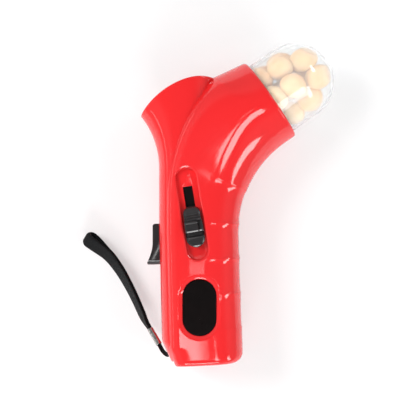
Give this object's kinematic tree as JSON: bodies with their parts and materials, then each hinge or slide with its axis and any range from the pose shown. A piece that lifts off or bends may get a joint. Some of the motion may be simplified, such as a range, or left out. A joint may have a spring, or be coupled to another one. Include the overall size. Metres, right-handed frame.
{
  "type": "treat launcher",
  "caption": "Hand-held launcher with a curved grip, a sprung slider in a barrel, a trigger, a clear cup of treats on an angled hopper and a wrist strap.",
  "frame": {"origin": "centre of the footprint of the launcher without its strap, on the surface that it lies on", "axes": "+Y up the grip towards the mouths, +Z out of the side with the slider and the pad, +X towards the clear cup"},
  "size_m": [0.1524, 0.1929, 0.0528],
  "materials": {
    "shell_red": "smooth moulded, glossy",
    "slider_black": "glossy black",
    "trigger_black": "glossy black",
    "pad_black": "soft satin rubber",
    "barrel_grey": "satin moulded",
    "funnel_grey": "satin moulded",
    "plug_black": "satin moulded",
    "striker_grey": "satin moulded",
    "seal_rubber": "soft",
    "steel": "zinc plated",
    "crimp_steel": "nickel plated",
    "cup_clear": "clear moulded plastic",
    "treat_biscuit": "baked, slightly rough",
    "cord_black": "braided cord",
    "webbing_black": "woven webbing"
  },
  "bodies": {
    "casing": {"front_shell": "shell_red", "rear_shell": "shell_red", "grip_pad": "pad_black", "launch_barrel": "barrel_grey", "barrel_end_plug": "plug_black", "feed_funnel": "funnel_grey", "cup_seal": "seal_rubber", "casing_screws": "steel", "trigger_pin": "steel", "strap_pin": "steel", "drive_spring": "steel", "trigger_spring": "steel", "strap_cord": "cord_black", "strap_crimp": "crimp_steel", "strap_webbing": "webbing_black"},
    "striker": {"striker": "striker_grey", "striker_pad": "seal_rubber", "slider_stem": "plug_black", "slider_knob": "slider_black", "slider_screw": "steel", "dust_strip": "plug_black"},
    "trigger": {"trigger_lever": "trigger_black"},
    "cup": {"treat_cup": "cup_clear", "treats": "treat_biscuit"}
  },
  "joints": [
    {"name": "cocking_slide", "type": "slide", "parent": "casing", "child": "striker", "axis": [-0.1599, 0.9871, 0], "range_m": [-0.0036, 0.0186], "deforming": ["drive_spring"]},
    {"name": "trigger_pivot", "type": "hinge", "parent": "casing", "child": "trigger", "pos_m": [-0.0422, -0.01527, 0.0265], "axis": [0, 0, 1], "range_deg": [0, 9], "stiffness_Nm_per_rad": 0.15, "springref_deg": -8.59, "deforming": ["trigger_spring"]},
    {"name": "cup_lift", "type": "slide", "parent": "casing", "child": "cup", "axis": [0.8192, 0.5736, 0], "range_m": [0, 0.014]}
  ]
}
